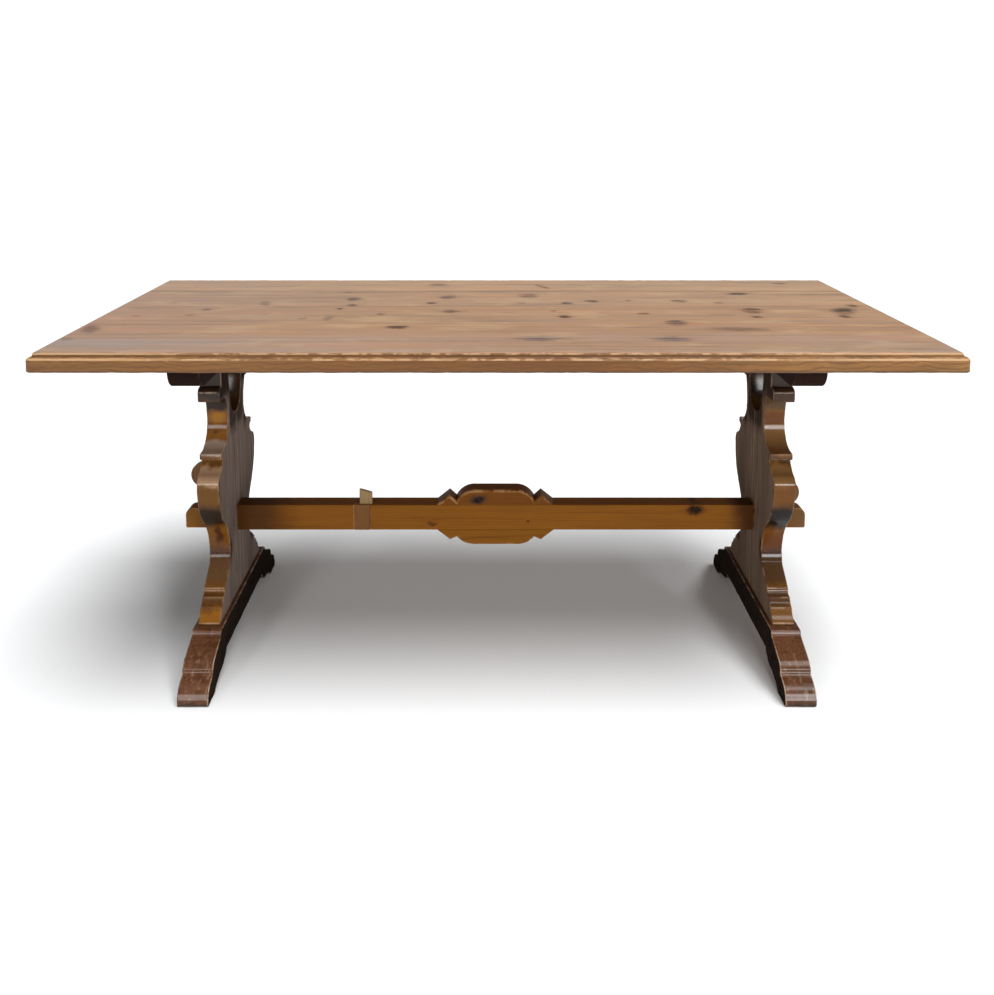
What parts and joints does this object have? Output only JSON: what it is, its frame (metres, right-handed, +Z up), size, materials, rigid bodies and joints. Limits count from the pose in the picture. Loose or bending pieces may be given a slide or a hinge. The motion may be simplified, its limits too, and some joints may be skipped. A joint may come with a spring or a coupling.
{
  "type": "trestle dining table",
  "caption": "Long plank-topped dining table on scroll-sawn trestles with sledge feet, tied by a keyed stretcher with a shaped cartouche.",
  "frame": {"origin": "on the floor under the middle of the table", "axes": "+X along the length to the right of the picture, +Y to the back, +Z up"},
  "size_m": [1.8, 0.9, 0.775],
  "materials": {
    "top_pine": "satin varnish, knotty",
    "stained_pine": "dark stain, gloss varnish, worn edges",
    "amber_pine": "amber stain, satin varnish",
    "patch_wood": "reddish stain, dull",
    "pale_wood": "bare",
    "screw_steel": "dull"
  },
  "bodies": {
    "table": {"top_board_1": "top_pine", "top_board_2": "top_pine", "top_board_3": "top_pine", "top_board_4": "top_pine", "top_board_5": "top_pine", "top_tongue_1": "pale_wood", "top_tongue_2": "pale_wood", "top_tongue_3": "pale_wood", "top_tongue_4": "pale_wood", "top_screws": "screw_steel", "bearer_left": "stained_pine", "trestle_left_front": "stained_pine", "trestle_left_back": "stained_pine", "foot_left": "stained_pine", "bearer_right": "stained_pine", "trestle_right_front": "stained_pine", "trestle_right_back": "stained_pine", "foot_right": "stained_pine", "stretcher": "amber_pine", "stretcher_crest": "amber_pine", "stretcher_pendant": "amber_pine", "stretcher_patch": "patch_wood", "stretcher_wedge": "pale_wood"},
    "left_key": {"key_left": "stained_pine"},
    "right_key": {"key_right": "stained_pine"}
  },
  "joints": [
    {"name": "left_key_draw", "type": "slide", "parent": "table", "child": "left_key", "axis": [0, 0, 1], "range_m": [0, 0.07]},
    {"name": "right_key_draw", "type": "slide", "parent": "table", "child": "right_key", "axis": [0, 0, 1], "range_m": [0, 0.11]}
  ]
}
